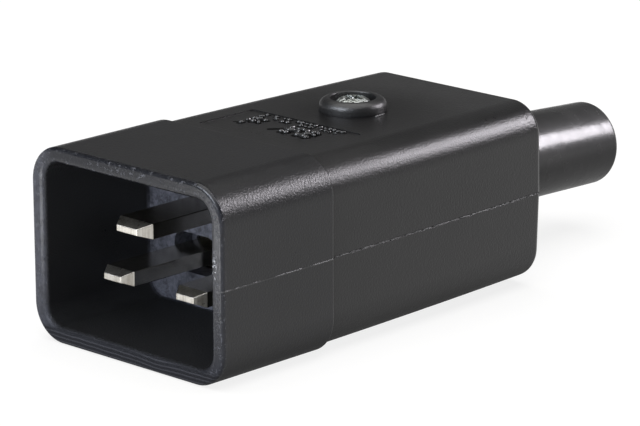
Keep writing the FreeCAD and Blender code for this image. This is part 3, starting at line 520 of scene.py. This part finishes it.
# ---------------------------------------------------------------- stage, light, camera
bm = bmesh.new()
bmesh.ops.create_grid(bm, x_segments=1, y_segments=1, size=3.0)
me = bpy.data.meshes.new("floor")
bm.to_mesh(me)
bm.free()
floor = bpy.data.objects.new("floor", me)
floor.location = (0, 0, -0.00003)
scene.collection.objects.link(floor)
f = Tree("floor_pale")
tone = f.noise(9.0, 2.0)
f.into("Base Color", f.ramp(tone, [(0.3, (0.20, 0.20, 0.20)), (0.7, (0.22, 0.22, 0.22))]))
# the floor glows evenly, with a brighter cool pool before the open end
across = f.math("DIVIDE", f.math("ADD", f.axis(0), 0.009), 0.034)
ahead = f.math("DIVIDE", f.math("ADD", f.axis(1), 0.097), 0.018)
pool = f.math("SQRT", f.math("ADD", f.math("MULTIPLY", across, across), f.math("MULTIPLY", ahead, ahead)))
pool = f.span(pool, 0.45, 1.15, 1.0, 0.0, True)
plain = f.ramp(tone, [(0.3, (0.83, 0.83, 0.83)), (0.7, (0.845, 0.845, 0.845))])
f.into("Emission Color", f.mix(pool, plain, (1.0, 1.0, 1.0)))
f.into("Emission Strength", f.span(pool, 0.0, 1.0, 1.0, 13.0))
f.set(Roughness=0.9)
f.bsdf.inputs["Specular IOR Level"].default_value = 0.0
floor.data.materials.append(f.mat)

world = bpy.data.worlds.new("studio")
scene.world = world
world.use_nodes = True
wt = world.node_tree
wt.nodes.clear()
wo = wt.nodes.new("ShaderNodeOutputWorld")
bg = wt.nodes.new("ShaderNodeBackground")
tc = wt.nodes.new("ShaderNodeTexCoord")
sx = wt.nodes.new("ShaderNodeSeparateXYZ")
mr = wt.nodes.new("ShaderNodeMapRange")
mr.inputs["From Min"].default_value = -1.0
rp = wt.nodes.new("ShaderNodeValToRGB")
els = rp.color_ramp.elements
for pos, col in ((0.625, 0.185), (0.68, 0.03)):
    els.new(pos).color = (col, col, col, 1)
els[0].color = (0.185, 0.185, 0.185, 1)
els[-1].color = (0.03, 0.03, 0.03, 1)
wt.links.new(tc.outputs["Generated"], sx.inputs[0])
wt.links.new(sx.outputs[2], mr.inputs["Value"])
wt.links.new(mr.outputs[0], rp.inputs[0])
wt.links.new(rp.outputs[0], bg.inputs["Color"])
wt.links.new(bg.outputs[0], wo.inputs["Surface"])

centre = Vector((0, -0.005, 0.0125))


def softbox(name, way, far, wide, high, radiance, colour, along=(1, 0, 0)):
    """Rectangular light at a distance along a direction, facing the object."""
    data = bpy.data.lights.new(name, "AREA")
    data.shape = "RECTANGLE"
    data.size, data.size_y = wide, high
    data.energy = radiance * math.pi * wide * high
    data.color = colour
    o = bpy.data.objects.new(name, data)
    z = Vector(way).normalized()
    x = Vector(along)
    x = (x - z * x.dot(z)).normalized()
    y = z.cross(x)
    p = centre + z * far
    o.matrix_world = Matrix(((x.x, y.x, z.x, p.x), (x.y, y.y, z.y, p.y), (x.z, y.z, z.z, p.z), (0, 0, 0, 1)))
    scene.collection.objects.link(o)
    return o


key = softbox("key", (0.456, 0.78, 0.429), 0.62, 0.21, 0.16, 32.0, (0.98, 0.94, 1.0), (0.686, 0, -0.728))
softbox("overhead", (0.0, 0.0, 1.0), 1.2, 1.7, 1.7, 2.6, (1.0, 0.99, 0.975))
front = softbox("front", (0.0, -1.0, 0.24), 0.75, 0.95, 0.38, 12.5, (0.86, 0.91, 1.0))
front.visible_glossy = False
glow = softbox("front_glow", (-0.08, -0.80, 0.53), 0.70, 0.66, 0.26, 15.0, (0.86, 0.91, 1.0))
glow.visible_diffuse = False
# these shape the object only, so the floor stays evenly pale
spared = bpy.data.collections.new("key_spares")
spared.objects.link(floor)
for lamp in (key, front, glow):
    lamp.light_linking.receiver_collection = spared
spared.collection_objects[0].light_linking.link_state = "EXCLUDE"

cam_data = bpy.data.cameras.new("camera")
cam = bpy.data.objects.new("camera", cam_data)
scene.collection.objects.link(cam)
scene.camera = cam
F, CX, CY = 3551.54, 319.648, 212.073
eye = Vector((307.495, -333.2127, 137.974)) * MM
aim = Vector((0.0, -10.0917, 12.509)) * MM
fwd = (aim - eye).normalized()
right = fwd.cross(Vector((0, 0, 1))).normalized()
up = right.cross(fwd)
roll = math.radians(-0.196)
r2 = right * math.cos(roll) + up * math.sin(roll)
u2 = up * math.cos(roll) - right * math.sin(roll)
# the middle of a 640 x 426 picture
mid = (fwd + r2 * ((320 - CX) / F) - u2 * ((213 - CY) / F)).normalized()
r3 = (r2 - mid * r2.dot(mid)).normalized()
u3 = r3.cross(mid)
cam.matrix_world = Matrix(((r3.x, u3.x, -mid.x, eye.x), (r3.y, u3.y, -mid.y, eye.y), (r3.z, u3.z, -mid.z, eye.z), (0, 0, 0, 1)))
cam_data.sensor_fit = "HORIZONTAL"
cam_data.sensor_width = 36.0
cam_data.lens = F * 36.0 / 640.0
cam_data.clip_start, cam_data.clip_end = 0.01, 20.0
scene.view_settings.view_transform = "Standard"
